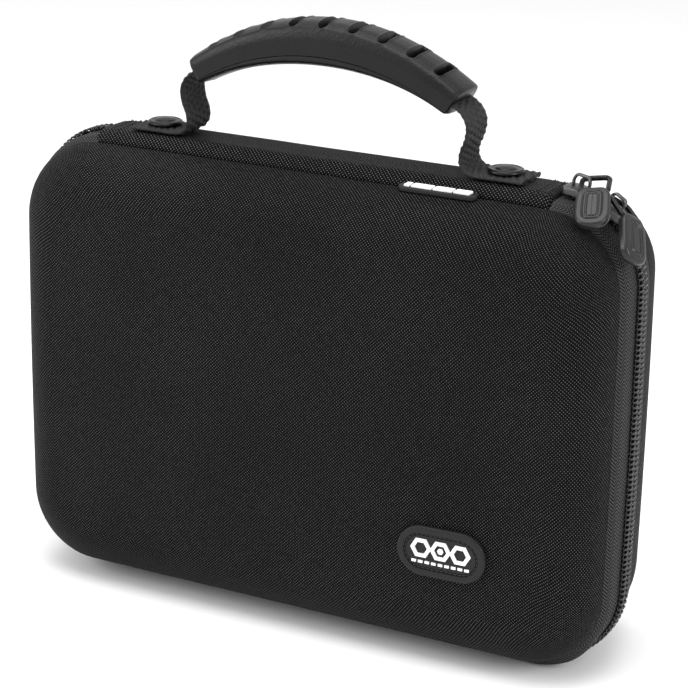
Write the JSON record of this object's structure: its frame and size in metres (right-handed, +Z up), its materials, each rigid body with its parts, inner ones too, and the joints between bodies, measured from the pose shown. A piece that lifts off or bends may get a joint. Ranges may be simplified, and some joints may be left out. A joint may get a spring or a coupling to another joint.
{
  "type": "zip-around carry case",
  "caption": "Hard-shelled zip-around carry case with arched riveted handle, fabric spine, zip pulls and a foam tray with pockets for miniatures.",
  "frame": {"origin": "on the resting face, under the middle of the overall size", "axes": "+X is the case's width to the right, +Y runs from the front face to the back, +Z is up from the side it stands on to the handle"},
  "size_m": [0.274, 0.0912, 0.2482],
  "materials": {
    "shell_cloth": "matte",
    "lining_cloth": "matte",
    "spine_cloth": "matte",
    "binding": "matte",
    "zip_tape": "matte",
    "zip_coil": "satin",
    "foam": "matte",
    "board": "matte",
    "webbing": "matte",
    "dark_metal": "satin",
    "grip": "satin",
    "badge_rubber": "satin",
    "white_rubber": "satin",
    "tag_rubber": "satin"
  },
  "bodies": {
    "base": {"back_shell": "shell_cloth", "back_lining": "lining_cloth", "back_seam_binding": "binding", "back_zip_tape": "zip_tape", "back_zip_coil": "zip_coil", "foam_tray": "foam", "foam_base_pad": "foam"},
    "spine": {"spine_panel": "spine_cloth", "handle_backing_plate": "board", "webbing_foot_left": "webbing", "webbing_foot_right": "webbing", "rivet_cap_left": "dark_metal", "rivet_cap_right": "dark_metal", "rivet_post_left": "dark_metal", "rivet_post_right": "dark_metal"},
    "handle": {"grip_upper": "grip", "grip_lower": "grip", "handle_strap": "webbing"},
    "lid": {"front_shell": "shell_cloth", "front_lining": "lining_cloth", "front_seam_binding": "binding", "front_zip_tape": "zip_tape", "front_zip_coil": "zip_coil", "foam_lid_pad": "foam", "front_badge": "badge_rubber", "front_badge_mark": "white_rubber", "top_badge": "badge_rubber", "top_badge_mark": "white_rubber"},
    "slider_upper": {"zip_slider_upper": "dark_metal"},
    "ring_upper": {"pull_ring_upper": "dark_metal"},
    "tag_upper": {"pull_tag_upper": "tag_rubber"},
    "slider_corner": {"zip_slider_corner": "dark_metal"},
    "ring_corner": {"pull_ring_corner": "dark_metal"},
    "tag_corner": {"pull_tag_corner": "tag_rubber"}
  },
  "joints": [
    {"name": "spine_fold", "type": "hinge", "parent": "base", "child": "spine", "pos_m": [-0.0012, 0.0089, 0.194], "axis": [-1, 0, 0], "range_deg": [0, 100]},
    {"name": "lid_fold", "type": "hinge", "parent": "spine", "child": "lid", "pos_m": [-0.0012, -0.0183, 0.194], "axis": [-1, 0, 0], "range_deg": [0, 40]},
    {"name": "handle_swing", "type": "hinge", "parent": "spine", "child": "handle", "pos_m": [-0.0012, -0.0047, 0.2005], "axis": [1, 0, 0], "range_deg": [-70, 70]},
    {"name": "slider_upper_run", "type": "hinge", "parent": "lid", "child": "slider_upper", "pos_m": [0.0988, -0.0047, 0.159], "axis": [0, -1, 0], "range_deg": [-2, 1.5]},
    {"name": "ring_upper_swing", "type": "hinge", "parent": "slider_upper", "child": "ring_upper", "pos_m": [0.10596, -0.0047, 0.19764], "axis": [0.2812, -0.9339, -0.2209], "range_deg": [0, 60]},
    {"name": "tag_upper_swing", "type": "hinge", "parent": "ring_upper", "child": "tag_upper", "pos_m": [0.11348, -0.01175, 0.19627], "axis": [-0.9582, -0.2606, -0.1178], "range_deg": [0, 60]},
    {"name": "slider_corner_run", "type": "hinge", "parent": "lid", "child": "slider_corner", "pos_m": [0.0988, -0.0047, 0.159], "axis": [0, -1, 0], "range_deg": [-26, 1]},
    {"name": "ring_corner_swing", "type": "hinge", "parent": "slider_corner", "child": "ring_corner", "pos_m": [0.12066, -0.0047, 0.19202], "axis": [-0.37, -0.7931, 0.4839], "range_deg": [0, 60]},
    {"name": "tag_corner_swing", "type": "hinge", "parent": "ring_corner", "child": "tag_corner", "pos_m": [0.12881, -0.01126, 0.18749], "axis": [-0.37, -0.7931, 0.4839], "range_deg": [0, 60]}
  ],
  "couplings": [
    {"joint": "lid_fold", "follows": "spine_fold", "ratio": 0.4}
  ]
}
